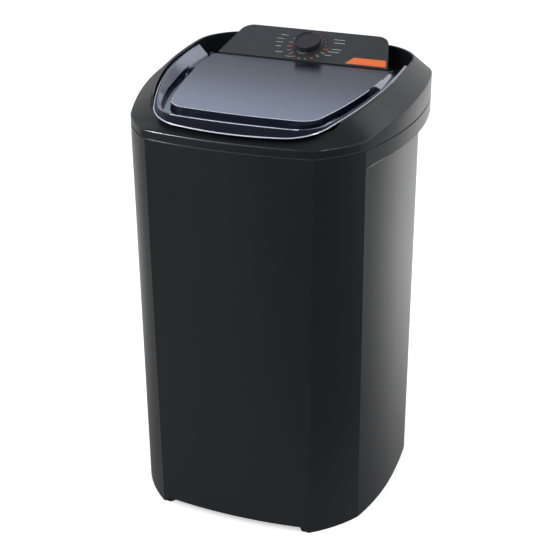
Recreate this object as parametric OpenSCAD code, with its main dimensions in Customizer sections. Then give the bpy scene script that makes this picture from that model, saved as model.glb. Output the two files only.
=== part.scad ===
// Semi-automatic washing machine: a top-loading tub with a manual timer and a belt-driven agitator.
// Millimetres. The feet stand on z = 0, the front faces -Y, and x = 0 is the plane of symmetry.

/* [Outline at the seam] */
// Width of the cabinet below the grip band
cabinet_w = 541.8; // [500:0.1:600]
// How far the grip band stands out at each side
band_out = 16.6; // [14:0.1:20]
// Depth, front face to back of the grip band
machine_d = 576; // [540:1:620]
// Height of the seam between cabinet and top frame
seam_z = 847; // [820:1:880]
// How far the front face bulges at its middle
front_bow = 16; // [10:1:22]
// Distance of the hard edges, where the chamfers end, inside the cabinet's sides
hard_edge_in = 21.7; // [18:0.1:26]
// Width of each chamfer seen from the front
chamfer_w = 74.7; // [66:0.1:84]
// Distance of the hard edges behind the front face
hard_edge_back = 105.5; // [96:0.5:115]
// How far each chamfer bulges
chamfer_bow = 6.5; // [4:0.5:9]
// Depth position of the widest point of the grip band
band_widest_y = 49; // [40:1:60]
// Radius of the rear corners of the grip band
band_corner_r = 95; // [85:1:105]
// Radius of the gently curved back
back_r = 1600; // [1300:50:2200]

/* [Cabinet] */
// Depth position of the cabinet's widest point
cabinet_widest_y = 3.7; // [0:0.1:10]
// Radius of the cabinet's sides behind the widest point
cabinet_side_r = 1250; // [1100:10:1500]
// Radius of the cabinet's rear corners
cabinet_corner_r = 140; // [125:1:150]
// Distance of the cabinet's back in front of the grip band's back
cabinet_back_step = 24; // [20:1:28]
// How far the foot of the front face leans back
front_lean = 14; // [8:1:18]
// How far the feet of the hard edges lean back
edge_lean = 18; // [12:1:22]
// How far the foot of each soft edge draws in
edge_taper = 5; // [2:1:8]
// Wall thickness of the cabinet
wall = 2.5; // [2.2:0.1:3.5]
// Height of the hem above the floor, which is the height of the feet
hem_z = 12; // [9:0.5:16]
// Height of the grip band
band_h = 35; // [28:1:42]
// Height of the step under the grip band
band_step = 6; // [4:0.5:8]
// Thickness of the tub's flange at the seam
flange_t = 3; // [2.5:0.1:3.5]

/* [Wash tub] */
// Gap in plan between the cabinet's outside and the tub's mouth
mouth_inset = 20; // [18:0.5:24]
// How far the tub's wall draws in over its height
tub_draft = 14; // [10:1:18]
// Height of the top of the tub's floor
tub_floor_z = 340; // [325:1:355]
// Wall thickness of the tub
tub_wall = 2.5; // [2.2:0.1:3.5]
// Rounding between the tub's wall and floor
tub_round = 26; // [20:1:32]

/* [Top frame] */
// Distance of the rim's crest inside the grip band
crest_in = 42.5; // [40:0.5:45]
// Depth position of the crest's widest point
crest_widest_y = 42; // [36:1:48]
// Distance of the crest behind the front face
crest_front_gap = 26; // [24:1:30]
// Distance of the crest in front of the back
crest_back_gap = 30; // [26:1:34]
// Radius of the crest's rear corners
crest_corner_r = 110; // [104:1:116]
// Height of the crest at the back, above the seam
crest_rise = 87; // [82:1:92]
// Drop of the crest from back to the lid's front corners
crest_fall = 40; // [36:1:43]
// Height of the crest under the lid's lip, above the seam
crest_front_rise = 24.5; // [22:0.5:26]
// Height of the band's top edge at the front, above the seam
edge_front_rise = 17; // [14:0.5:19]
// Height of the band's top edge at the back, above the seam
edge_back_rise = 50.5; // [46:0.5:56]
// Height of the deck behind the lid, above the seam
deck_rise = 39; // [36:0.5:42]
// Height of the ledge at the front, above the seam
ledge_front_rise = 21; // [19:0.5:22]
// Width of the ledge under the lid
ledge_w = 42; // [38:1:44]
// Depth of the drip lip below the ledge
drip_h = 12; // [8:1:15]

/* [Lid] */
// Thickness of the lid's shell
lid_t = 3; // [2.6:0.1:3.4]
// Height of the front lip above the seam
lip_rise = 30.6; // [29.5:0.1:32]
// Distance of the lip behind the front face
lip_back = 11; // [9:0.5:14]
// Gap between the wings' ends and the rim's crest
wing_gap = 7; // [6.5:0.5:9]
// Height of the wing ends above the seam
wing_rise = 80; // [76:0.5:81]
// Width of each wing at the hinge
wing_w = 38.5; // [38:0.5:42]
// Height of the raised centre at its front edge, above the seam
centre_front_rise = 50; // [48:0.5:52]
// Height of the channel floor at the front, above the seam
channel_rise = 33.5; // [32:0.5:35]
// Distance of the hinge axis in front of the machine's back
hinge_back = 162; // [160:0.5:164]
// Height of the hinge axis above the seam
hinge_rise = 58.6; // [57:0.1:60]
// Outer radius of the lid's hinge barrel
barrel_r = 5.5; // [5:0.1:5.8]
// Radius of the hinge pins
pin_r = 3; // [2.5:0.1:3.2]
// Running clearance round a pin or shaft
running_gap = 0.05; // [0.03:0.01:0.08]

/* [Control panel] */
// How far the panel's front corners lie inside the raised centre of the lid
panel_in = 6.5; // [6:0.5:12]
// How much narrower the panel is on each side at its rear corners
panel_taper = 21; // [16:0.5:30]
// Length of the panel along its slope
panel_len = 105; // [100:0.5:108]
// Slope of the panel in degrees
panel_tilt = 23.7; // [21:0.1:25]
// Thickness of the panel
panel_t = 3; // [2.5:0.1:4]
// Radius of the panel's rear corners
panel_r = 30; // [20:0.5:32]
// Gap between the hinge axis and the panel's front edge
panel_gap = 8.2; // [8.2:0.1:9]
// Height of the panel's front edge above the seam
panel_rise = 66; // [64:0.5:68]
// Distance of the knob's centre up the slope
knob_v = 50; // [48:0.5:52]
// Radius of the knob at its foot
knob_r = 31.5; // [28:0.5:33]
// Radius of the knob at its top
knob_top_r = 29.5; // [26:0.5:30]
// Height of the knob
knob_h = 17.5; // [15:0.5:22]
// Radius of the timer's shaft
timer_shaft_r = 3; // [2.5:0.1:4]
// Radius of the timer's case
timer_r = 24; // [20:0.5:26]
// Height of the timer's case
timer_h = 22; // [18:0.5:24]

/* [Agitator and drive] */
// Depth position of the drive shaft
hub_y = -10; // [-16:1:-4]
// Radius of the agitator
agitator_r = 165; // [140:1:172]
// Gap between the agitator and the tub's floor
agitator_gap = 4; // [3:0.5:6]
// Number of vanes on the agitator
vanes = 4; // [3:1:6]
// Radius of the drive shaft
shaft_r = 8; // [7:0.5:9]
// Outer radius of the drive pulley
pulley_r = 110; // [95:1:115]
// Outer radius of the motor pulley
motor_pulley_r = 28; // [24:1:32]
// Distance between the drive shaft and the motor shaft
belt_centres = 170; // [166:1:175]
// Thickness and height of the belt
belt_t = 8; // [6:0.5:9]
// Height of the belt's middle above the floor
belt_z = 234; // [228:1:238]
// Radius of the motor's case
motor_r = 62; // [54:1:66]
// Height of the motor's case
motor_h = 70; // [62:1:72]
// Radius of the motor's shaft
motor_shaft_r = 6; // [5:0.5:8]

/* [Drain and filter] */
// Outer radius of the drain spigots
spigot_r = 12; // [10:0.5:14]
// Wall thickness of the drain hose
hose_wall = 2.5; // [2:0.1:3.5]
// Distance of the drain and its outlet from the middle plane
drain_x = 120; // [119:1:128]
// Height of the drain outlet above the floor
outlet_z = 90; // [80:1:110]
// Height of the lint filter
filter_h = 150; // [120:1:160]
// Width of the lint filter
filter_w = 84; // [70:1:90]

/* [Hidden] */
$fn = 48;

charcoal = "#25272a";
slate = "#464c4f";
smoke = "#5b6480";
tub_grey = "#b9bec4";
steel = "#a9adb0";
rubber = "#1c1c1d";
orange = "#f06c2f";

// Plan geometry: unit vectors, arcs and outlines as lists of points, counterclockwise from above
function unit(v) = v / norm(v);
function angle_of(v) = atan2(v.y, v.x);
function flip(p) = [-p.x, p.y];
function clamp01(t) = min(1, max(0, t));
function mix(a, b, t) = a + (b - a) * t;
function arc(c, r, a0, a1, n) = [for (i = [0:n - 1]) c + r * [cos(mix(a0, a1, i / n)), sin(mix(a0, a1, i / n))]];

// An arc from p towards q that bulges by bow to the right of its direction
function bow_arc(p, q, bow, n) =
  let (half = norm(q - p) / 2, r = (half * half + bow * bow) / (2 * bow), t = unit(q - p),
       c = (p + q) / 2 - [t.y, -t.x] * (r - bow), a0 = angle_of(p - c), swing = 2 * asin(half / r))
  arc(c, r, a0, a0 + swing, n);

// Half of a bulged front, from the middle plane to its corner point
function front_arc(front_y, corner, n) =
  let (s = corner.y - front_y, r = (corner.x * corner.x + s * s) / (2 * s), c = [0, front_y + r])
  arc(c, r, -90, angle_of(corner - c), n);

// Centre of the circle of radius r that lies inside circles (c1, r1) and (c2, r2) and touches both
function corner_centre(c1, r1, c2, r2, r) =
  let (d1 = r1 - r, d2 = r2 - r, d = norm(c2 - c1), a = (d1 * d1 - d2 * d2 + d * d) / (2 * d),
       h = sqrt(d1 * d1 - a * a), u = unit(c2 - c1))
  c1 + u * a + [-u.y, u.x] * h;

// Right half of a body outline. s = [front y, soft edge, chamfer bow, hard edge, widest point,
// side radius behind it, rear corner radius, back y, back radius]
function half_outline(s) =
  let (f = s[1], e = s[3], w = s[4], dx = w.x - e.x, dy = w.y - e.y, r0 = (dx * dx + dy * dy) / (2 * dx),
       c0 = [w.x - r0, w.y], c1 = [w.x - s[5], w.y], c2 = [0, s[7] - s[8]],
       cc = corner_centre(c1, s[5], c2, s[8], s[6]), t1 = angle_of(cc - c1), t2 = angle_of(cc - c2))
  concat(front_arc(s[0], f, 6), bow_arc(f, e, s[2], 6), arc(c0, r0, angle_of(e - c0), 0, 10),
         arc(c1, s[5], 0, t1, 5), arc(cc, s[6], t1, t2, 12), arc(c2, s[8], t2, 90, 5), [[0, s[7]]]);

function whole(half) = concat(half, [for (i = [len(half) - 2:-1:1]) flip(half[i])]);

// Moves a closed outline inwards by d, each point along the mean of its two sides' normals
function inset(pts, d) =
  [for (i = [0:len(pts) - 1])
    let (n = len(pts), a = unit(pts[i] - pts[(i + n - 1) % n]), b = unit(pts[(i + 1) % n] - pts[i]),
         m = [a.y + b.y, -a.x - b.x] / (1 + a * b))
    pts[i] - m * d];

function at_z(pts, z) = [for (p = pts) [p.x, p.y, z]];
function mix_outline(a, b, t) = [for (i = [0:len(a) - 1]) mix(a[i], b[i], t)];
function flat(v) = [for (a = v) for (b = a) b];

// Ring of n points round c, square to the direction t
function ring_at(c, t, r, n) = let (u = unit(cross(t, [0.5, 0.8, 0.33])), v = cross(t, u))
  [for (k = [0:n - 1]) c + r * (cos(k * 360 / n) * u + sin(k * 360 / n) * v)];
function heading(p, i) = i == 0 ? unit(p[1] - p[0]) : i == len(p) - 1 ? unit(p[i] - p[i - 1])
  : unit(unit(p[i + 1] - p[i]) + unit(p[i] - p[i - 1]));

// Cuts each inner corner of a route with two points, d before and after it
function eased(p, d) = [for (i = [0:len(p) - 1]) each (i == 0 || i == len(p) - 1) ? [p[i]]
  : [p[i] - d * unit(p[i] - p[i - 1]), p[i] + d * unit(p[i + 1] - p[i])]];
module tube(path, r, n) skin([for (i = [0:len(path) - 1]) ring_at(path[i], heading(path, i), r, n)]);

// Solid between stacked loops of equal length. A ring closes on its first loop; otherwise the ends are capped
module skin(loops, ring = false) {
  n = len(loops[0]);
  m = len(loops);
  strips = [for (k = [0:(ring ? m - 1 : m - 2)]) for (i = [0:n - 1])
    let (a = k * n + i, b = k * n + (i + 1) % n, c = ((k + 1) % m) * n + i, d = ((k + 1) % m) * n + (i + 1) % n)
    each [[a, c, d], [a, d, b]]];
  caps = ring ? [] : [[for (i = [0:n - 1]) i], [for (i = [n - 1:-1:0]) (m - 1) * n + i]];
  polyhedron(points = flat(loops), faces = concat(strips, caps), convexity = 10);
}

// Outlines
machine_w = cabinet_w + 2 * band_out;
front_y = -machine_d / 2;
back_y = machine_d / 2;
hard_edge_x = cabinet_w / 2 - hard_edge_in;
front_edge_x = hard_edge_x - chamfer_w;
soft_edge = [front_edge_x, front_y + front_bow];
hard_edge = [hard_edge_x, front_y + hard_edge_back];
cabinet_back_y = back_y - cabinet_back_step;
band_side_r = (pow(band_widest_y - hard_edge.y, 2) + pow(machine_w / 2 - hard_edge_x, 2)) / (machine_w - 2 * hard_edge_x);

seam_line = whole(half_outline([front_y, soft_edge, chamfer_bow, hard_edge, [machine_w / 2, band_widest_y],
  band_side_r, band_corner_r, back_y, back_r]));
cabinet_top = whole(half_outline([front_y, soft_edge, chamfer_bow, hard_edge, [cabinet_w / 2, cabinet_widest_y],
  cabinet_side_r, cabinet_corner_r, cabinet_back_y, back_r]));
cabinet_foot = whole(half_outline([front_y + front_lean, soft_edge + [-edge_taper, front_lean - 1.5], chamfer_bow,
  hard_edge + [-1, edge_lean], [cabinet_w / 2, cabinet_widest_y], cabinet_side_r, cabinet_corner_r,
  cabinet_back_y, back_r]));

band_bottom_z = seam_z - band_h;
rim_z = seam_z - flange_t;
function cabinet_at(z) = mix_outline(cabinet_foot, cabinet_top, (z - hem_z) / (band_bottom_z - band_step - hem_z));

// Crest of the top frame
hinge_y = back_y - hinge_back;
crest_front_y = front_y + crest_front_gap;
crest_back_y = back_y - crest_back_gap;
crest_x = machine_w / 2 - crest_in;
crest_step = [crest_x - 53, front_y + 86];
crest_line = whole(half_outline([crest_front_y, [crest_step.x - 74, crest_front_y + 10], 7, crest_step,
  [crest_x, crest_widest_y], 2500, crest_corner_r, crest_back_y, 1500]));
crest_run = crest_back_y - 68 - crest_step.y;
function crest_side_z(y) = seam_z + crest_rise - crest_fall * pow(max(0, crest_back_y - 68 - y) / crest_run, 2);
function crest_z(p) = p.y > crest_step.y + 1 ? crest_side_z(p.y)
  : seam_z + crest_front_rise + 15 * clamp01((p.y - crest_front_y) / (crest_step.y - crest_front_y));
edge_level_y = back_y - 118;
edge_run = edge_level_y - hard_edge.y;
function edge_z(p) = seam_z + edge_back_rise
  - (edge_back_rise - edge_front_rise) * min(1, pow(max(0, edge_level_y - p.y) / edge_run, 2));
ledge_level_y = hinge_y - 26;
function ledge_z(p) = seam_z + mix(ledge_front_rise, deck_rise, clamp01((p.y - crest_front_y) / (ledge_level_y - crest_front_y)));
deck_z = seam_z + deck_rise;

// Lip round the cabinet's mouth, on which the tub's flange rests
rim_lip = 12;
screw_hole_r = 2.2;

// Base, feet and the screws that hold the base cover
boss_r = 6;
screw_r = 1.6;
boss_line = inset(cabinet_foot, wall + 5);
boss_at = [for (i = [3, 18, 30, 43 - 2, 84 - 18 - 12, len(cabinet_foot) - 3]) boss_line[i]];
foot_r = 36;
stem_r = 5;
foot_line = inset(cabinet_foot, wall + 0.3);
foot_at = [for (sx = [-1, 1]) for (p = [[front_edge_x + 4, front_y + front_lean + 42],
  [cabinet_w / 2 - cabinet_corner_r + 78, cabinet_back_y - cabinet_corner_r + 78]]) [sx * p.x, p.y]];

module cabinet() color(charcoal) difference() {
  union() {
    skin([
      at_z(cabinet_foot, 0),
      at_z(cabinet_foot, hem_z),
      at_z(cabinet_top, band_bottom_z - band_step),
      at_z(seam_line, band_bottom_z),
      at_z(seam_line, rim_z),
      at_z(inset(seam_line, rim_lip), rim_z),
      at_z(inset(seam_line, rim_lip), rim_z - wall),
      at_z(inset(seam_line, wall), rim_z - wall),
      at_z(inset(seam_line, wall), band_bottom_z + wall),
      at_z(inset(cabinet_top, wall), band_bottom_z - band_step + wall),
      at_z(inset(cabinet_foot, wall), hem_z),
      at_z(inset(cabinet_foot, wall), 0)
    ], ring = true);
    for (p = boss_at) translate([p.x, p.y, hem_z + base_t]) cylinder(r = boss_r, h = 30);
    rear_pad(drain_x, outlet_z, 26);
    rear_pad(-gland_x, gland_z, 18);
  }
  for (p = boss_at) translate([p.x, p.y, hem_z]) cylinder(r = screw_r + running_gap, h = 26);
  for (p = frame_screw_at) translate([p.x, p.y, rim_z - wall - 1]) cylinder(r = screw_hole_r, h = wall + 2);
  along_y(drain_x, pad_in_y - 5, outlet_z) cylinder(r = spigot_r + 0.3, h = 40);
  along_y(-gland_x, pad_in_y - 5, gland_z) cylinder(r = gland_r, h = 40);
  translate([0, front_y + 30, 0]) skirt_arch();
  translate([0, cabinet_back_y, 0]) skirt_arch();
}

// The skirt reaches the floor at the sides and corners, and stands clear of it between the feet
arch_x = front_edge_x - 5;
module skirt_arch() rotate([90, 0, 0]) translate([0, 0, -40]) linear_extrude(80)
  polygon([[-arch_x, -1], [arch_x, -1], [arch_x, 0], [arch_x - 5, 1.5], [arch_x - 10, hem_z / 2], [arch_x - 15, hem_z - 1.5], [arch_x - 20, hem_z],
    [-arch_x + 20, hem_z], [-arch_x + 15, hem_z - 1.5], [-arch_x + 10, hem_z / 2], [-arch_x + 5, 1.5], [-arch_x, 0]]);

// Flat round pad on the cabinet's back, for a fitting
pad_y = cabinet_back_y + 2;
pad_in_y = cabinet_back_y - 18;
gland_x = 120;
gland_z = 120;
gland_r = 8;
module along_y(x, y, z) translate([x, y, z]) rotate([-90, 0, 0]) children();
module rear_pad(x, z, r) along_y(x, pad_in_y, z) cylinder(r = r, h = pad_y - pad_in_y);

base_t = 3;
base_line = inset(cabinet_foot, wall + 0.3);
vent_w = 6;
rib_x = cabinet_w / 2 - 150;
rib_y = machine_d / 2 - 128;
module base_cover() color(charcoal) difference() {
  union() {
    translate([0, 0, hem_z]) linear_extrude(base_t) polygon(base_line);
    for (s = [-1, 1]) translate([-front_edge_x, s * rib_y - 2, hem_z]) cube([2 * front_edge_x, 4, 14]);
    for (s = [-1, 1]) translate([s * rib_x - 2, -rib_y, hem_z]) cube([4, 2 * rib_y, 14]);
  }
  for (i = [-4:4]) for (y = [-90, 40]) translate([i * 22 - vent_w / 2, y, hem_z - 1]) cube([vent_w, 50, base_t + 2]);
  for (p = boss_at) translate([p.x, p.y, hem_z - 1]) cylinder(r = screw_r + running_gap, h = base_t + 2);
  for (p = foot_at) translate([p.x, p.y, hem_z - 1]) cylinder(r = stem_r, h = base_t + 2);
}

module base_screws() color(steel) for (p = boss_at) translate([p.x, p.y, hem_z - 2.5]) {
  cylinder(r = 4, h = 2.5);
  cylinder(r = screw_r, h = 26);
}

module feet() color(rubber) for (p = foot_at) {
  linear_extrude(hem_z) intersection() {
    polygon(foot_line);
    difference() {
      translate(p) circle(r = foot_r);
      for (q = boss_at) translate(q) circle(r = 5.5);
    }
  }
  translate([p.x, p.y, hem_z - 1]) cylinder(r = stem_r, h = base_t + 4);
}

// Wash tub: a bowl that hangs by its flange on the cabinet's rim
mouth_line = inset(cabinet_top, mouth_inset);
floor_low_z = tub_floor_z - tub_wall;
function tub_line(z, extra) =
  inset(cabinet_at(z), mouth_inset + extra + tub_draft * (seam_z - z) / (seam_z - tub_floor_z - tub_round));
round_angles = [0, 22.5, 45, 67.5, 90];
function tub_round_loop(a, out) = let (r = tub_round + out, z = tub_floor_z + tub_round - r * sin(a))
  at_z(tub_line(tub_floor_z + tub_round, tub_round - r * cos(a)), z);
hub_hole_r = 22;
drain_at = [drain_x, 60];
loom_hole = [-120, cabinet_back_y - 13];
screw_line = inset(seam_line, 7.5);
frame_screw_at = [for (i = [2, 20, 29, 40, 84 - 36, 84 - 25, 84 - 16, len(seam_line) - 2]) screw_line[i]];

// Lint filter seat on the left wall of the tub
filter_t = 6;
seat_x = -(cabinet_w / 2 - mouth_inset - 14);
seat_z = seam_z - 97 - filter_h;
rail = 4;
rail_h = 72;
filter_gap = 0.4;
module filter_seat() {
  half = filter_w / 2 + filter_gap;
  translate([seat_x - 10, -half - rail, seat_z - rail]) cube([10, 2 * (half + rail), filter_h + rail]);
  for (s = [-1, 1]) translate([seat_x - 1, s * (half + rail / 2) - rail / 2, seat_z - rail])
    cube([filter_t + 2 * filter_gap + rail, rail, rail_h]);
  for (s = [-1, 1]) translate([seat_x + filter_t + 2 * filter_gap, s * (half - 1) - (rail + 2) / 2, seat_z - rail])
    cube([rail - 1, rail + 2, rail_h]);
  translate([seat_x - 1, -half - rail, seat_z - rail]) cube([filter_t + 2 * filter_gap + rail, 2 * (half + rail), rail - filter_gap]);
}

// The flange's edge stands back a little, as a thin groove round the machine
groove_in = 2.5;
module wash_tub() color(tub_grey) difference() {
  union() {
    skin(concat(
      [for (i = [4:-1:0]) tub_round_loop(round_angles[i], tub_wall)],
      [at_z(tub_line(rim_z, -tub_wall), rim_z), at_z(inset(seam_line, groove_in), rim_z),
       at_z(inset(seam_line, groove_in), seam_z), at_z(mouth_line, seam_z)],
      [for (i = [0:4]) tub_round_loop(round_angles[i], 0)]
    ));
    filter_seat();
  }
  translate([0, hub_y, floor_low_z - 1]) cylinder(r = hub_hole_r, h = tub_wall + 2);
  translate([drain_at.x, drain_at.y, floor_low_z - 1]) cylinder(r = spigot_r + 2, h = tub_wall + 2);
  translate([loom_hole.x, loom_hole.y, rim_z - 1]) cylinder(r = loom_hole_r, h = flange_t + 2);
  for (p = frame_screw_at) translate([p.x, p.y, rim_z - 1]) cylinder(r = screw_hole_r, h = flange_t + 2);
  for (p = bearing_bolt_at) translate([p.x, p.y, floor_low_z - 1]) cylinder(r = bolt_r + running_gap, h = tub_wall + 2);
  for (p = mount_at) translate([p.x, p.y, floor_low_z - 1]) cylinder(r = bolt_r + running_gap, h = tub_wall + 2);
}

// Top frame: sloped rim, ledge under the lid, and the deck that carries the control panel
frame_t = 3;
deck_front_y = hinge_y - 12;
function frame_loop(pts, z_of, dz) = [for (p = pts) [p.x, p.y, z_of + dz]];
function crest_loop(d, dz) = let (q = inset(crest_line, d))
  [for (i = [0:len(q) - 1]) [q[i].x, q[i].y, crest_z(crest_line[i]) + dz]];
function edge_loop(d, dz) = let (q = inset(seam_line, d))
  [for (i = [0:len(q) - 1]) [q[i].x, q[i].y, edge_z(seam_line[i]) + dz]];
function ledge_loop(d, dz) = let (q = inset(crest_line, d))
  [for (i = [0:len(q) - 1]) [q[i].x, q[i].y, ledge_z(crest_line[i]) + dz]];
deck_line = [for (p = inset(crest_line, ledge_w - 1)) if (p.y > deck_front_y) p];
function deck_x(y) = let (q = [for (p = deck_line) if (p.x > 0) p]) q[0].x;
boss_h = 14;

module top_frame() color(charcoal) difference() {
  union() {
    skin([
      at_z(seam_line, seam_z),
      edge_loop(0, -3),
      edge_loop(1, -0.9),
      edge_loop(3.2, 0.5),
      crest_loop(-2.5, -1.2),
      crest_loop(0, 0),
      crest_loop(2.4, -1.2),
      ledge_loop(3, 0),
      ledge_loop(ledge_w, 0),
      ledge_loop(ledge_w, -drip_h),
      ledge_loop(ledge_w - frame_t, -drip_h),
      ledge_loop(ledge_w - frame_t, -frame_t),
      ledge_loop(6, -frame_t),
      crest_loop(0.5, -frame_t - 3),
      edge_loop(6, -frame_t),
      edge_loop(frame_t, -frame_t - 3),
      at_z(inset(seam_line, frame_t), seam_z)
    ], ring = true);
    translate([0, 0, deck_z - frame_t]) linear_extrude(frame_t)
      polygon(concat([[deck_line[0].x, deck_front_y]], deck_line, [[-deck_line[0].x, deck_front_y]]));
    for (p = frame_screw_at) translate([p.x, p.y, seam_z]) cylinder(r = 5, h = boss_h);
  }
  for (p = frame_screw_at) translate([p.x, p.y, seam_z - 1]) cylinder(r = screw_r + running_gap, h = boss_h - 1);
  translate([loom_hole.x, loom_up_y, deck_z - frame_t - 1]) cylinder(r = loom_hole_r, h = frame_t + 2);
  for (s = [-1, 1]) translate([s * bracket_screw_x, bracket_screw_y, deck_z - frame_t - 1])
    cylinder(r = screw_r + running_gap, h = frame_t + 2);
  for (p = housing_screw_at) translate([p.x, p.y, deck_z - frame_t - 5])
    cylinder(r = screw_r + running_gap, h = frame_t + 6);
}

module frame_screws() color(steel) for (p = frame_screw_at) translate([p.x, p.y, rim_z - wall - 2.5]) {
  cylinder(r = 3.6, h = 2.5);
  cylinder(r = screw_r, h = 2.5 + wall + flange_t + 9);
}

// Lid: a tray with a raised centre, a channel round three sides, wings and a front lip.
// Each line is [front y, corner start, corner bow, corner end, side bow, rear end]
lip_y = front_y + lip_back;
wing_z = seam_z + wing_rise;
corner_y = crest_step.y;
corner_x = crest_step.x - 72;
lid_x = crest_x - wing_gap;
centre_x = lid_x - wing_w;
lid_lines = [
  [lip_y, [corner_x - 4, lip_y + 10], 12.6, [crest_step.x - 5, corner_y], 18.5, [lid_x, hinge_y - 2]],
  [lip_y + 31, [corner_x + 2, lip_y + 36], 10.3, [crest_step.x - 11, corner_y + 4], 18.5, [lid_x - 5.5, hinge_y - 3]],
  [lip_y + 34, [corner_x, lip_y + 39], 10.2, [crest_step.x - 18, corner_y + 9], 18, [lid_x - 26, hinge_y - 9]],
  [lip_y + 36.5, [corner_x - 1, lip_y + 41.5], 9.8, [crest_step.x - 22, corner_y + 10], 18, [lid_x - 29.5, hinge_y - 11]],
  [lip_y + 60.5, [corner_x + 1, lip_y + 65.2], 7.9, [centre_x - 38.5, corner_y + 21], 11, [centre_x + 3, hinge_y - 11]],
  [lip_y + 63, [corner_x, lip_y + 67.7], 7.5, [centre_x - 41.5, corner_y + 23], 11, [centre_x, hinge_y - 18]]
];
function lid_half(l) = concat(front_arc(l[0], l[1], 6), bow_arc(l[1], l[3], l[2], 7), bow_arc(l[3], l[5], l[4], 14), [l[5]]);
function open_whole(half) = concat([for (i = [len(half) - 1:-1:1]) flip(half[i])], half);

// Moves an open line sideways by d (outwards is positive) and keeps its two ends' depth
function shift_open(pts, d) =
  [for (i = [0:len(pts) - 1])
    let (n = len(pts), a = pts[max(0, i - 1)], b = pts[min(n - 1, i + 1)], t = unit(b - a), q = pts[i] + [t.y, -t.x] * d)
    (i == 0 || i == n - 1) ? [q.x, pts[i].y] : q];

wing_level_y = hinge_y + 64;
function wing_ramp(y) = 1 - pow(clamp01((wing_level_y - y) / (wing_level_y - corner_y)), 2);
lip_z = seam_z + lip_rise;
corner_z = seam_z + 46;
function outer_z(p) = p.y < corner_y ? mix(lip_z, corner_z, (p.y - lip_y) / (corner_y - lip_y))
  : mix(corner_z, wing_z, wing_ramp(p.y) / wing_ramp(hinge_y));
function ridge_z(p) = p.y < corner_y ? mix(lip_z + 12, corner_z + 0.5, (p.y - lip_y - 31) / (corner_y - lip_y - 31)) : outer_z(p) + 1.5;
function inner_z(p) = ridge_z(p) - mix(1, 17, clamp01((p.y - corner_y - 12) / 130));
function channel_z(p) = seam_z + mix(channel_rise, channel_rise + 10, clamp01((p.y - lip_y - 36) / (hinge_y - lip_y - 41)));
// In front of the hinge the channel's floor climbs until it bridges the raised centre and the wings
function bridged(p) = clamp01((p.y - hinge_y + 122) / 16);
function centre_z(p) = mix(seam_z + centre_front_rise, hinge_z + barrel_r, clamp01((p.y - lip_y - 63) / (hinge_y - lip_y - 63)));
hinge_z = seam_z + hinge_rise;
function lifted(pts, k, dz) = [for (p = pts)
  [p.x, p.y, dz + (k == 0 ? outer_z(p) : k == 1 ? ridge_z(p) : k == 2 ? inner_z(p)
    : k == 3 ? mix(channel_z(p), inner_z(p) - 4, bridged(p)) : k == 4 ? mix(channel_z(p), centre_z(p) - 1, bridged(p)) : centre_z(p))]];
lid_shift = [-0.3, 0, 2.2, 2.2, -2.4, -2.6];
lid_tops = [for (k = [0:5]) lifted(open_whole(lid_half(lid_lines[k])), k, 0)];
lid_lows = [for (k = [0:5]) lifted(shift_open(open_whole(lid_half(lid_lines[k])), lid_shift[k]), k, -lid_t)];

module lid_shell() {
  n = len(lid_tops[0]);
  function top(k, i) = k * n + i;
  function low(k, i) = (6 + k) * n + i;
  function quad(a, b, c, d) = [[a, b, c], [a, c, d]];
  faces = concat(
    [for (k = [0:4]) for (i = [0:n - 2]) each quad(top(k, i), top(k + 1, i), top(k + 1, i + 1), top(k, i + 1))],
    [for (k = [0:4]) for (i = [0:n - 2]) each quad(low(k, i), low(k, i + 1), low(k + 1, i + 1), low(k + 1, i))],
    [for (i = [0:n - 2]) each quad(low(0, i), top(0, i), top(0, i + 1), low(0, i + 1))],
    [for (i = [0:(n - 1) / 2 - 1]) each quad(top(5, i), top(5, n - 1 - i), top(5, n - 2 - i), top(5, i + 1))],
    [for (i = [0:(n - 1) / 2 - 1]) each quad(low(5, i), low(5, i + 1), low(5, n - 2 - i), low(5, n - 1 - i))],
    [for (k = [0:4]) each quad(low(k, 0), low(k + 1, 0), top(k + 1, 0), top(k, 0))],
    [for (k = [0:4]) each quad(top(k, n - 1), top(k + 1, n - 1), low(k + 1, n - 1), low(k, n - 1))],
    quad(low(5, 0), low(5, n - 1), top(5, n - 1), top(5, 0))
  );
  polyhedron(points = concat(flat(lid_tops), flat(lid_lows)), faces = faces, convexity = 10);
}

module along_x(x, y, z) translate([x, y, z]) rotate([0, 90, 0]) children();
pin_len = 20;
ear_w = 7;
ear_x = centre_x + 0.8;

// Sloped strip that joins the raised centre to the hinge barrel
strip_y = hinge_y - 20;
function centre_at(y) = centre_z([0, y]);
module lid_back_strip() rotate([90, 0, 90]) translate([0, 0, -centre_x]) linear_extrude(2 * centre_x)
  polygon([[strip_y, centre_at(strip_y) - lid_t], [hinge_y, centre_at(hinge_y) - lid_t], [hinge_y, centre_at(hinge_y)], [strip_y, centre_at(strip_y)]]);

module lid() color(smoke) difference() {
  union() {
    lid_shell();
    lid_back_strip();
    along_x(-centre_x, hinge_y, hinge_z) cylinder(r = barrel_r, h = 2 * centre_x);
  }
  for (s = [-1, 1]) along_x(s > 0 ? centre_x - 14 : -centre_x - 1, hinge_y, hinge_z) cylinder(r = pin_r + running_gap, h = 15);
}

// Rubber buffers under the channel, which carry the closed lid on the ledge
buffer_r = 3.2;
buffer_gap = 0.15;
buffer_at = [for (s = [-1, 1]) for (q = [[centre_x - 5.5, mix(corner_y, hinge_y, 0.43)], [corner_x, lip_y + 52]]) [s * q.x, q.y]];
module lid_buffers() color(rubber) for (p = buffer_at) {
  low = ledge_z(p) + 2 * buffer_gap;
  translate([p.x, p.y, low]) cylinder(r = buffer_r, h = channel_z(p) - lid_t - buffer_gap - low);
}

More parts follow.
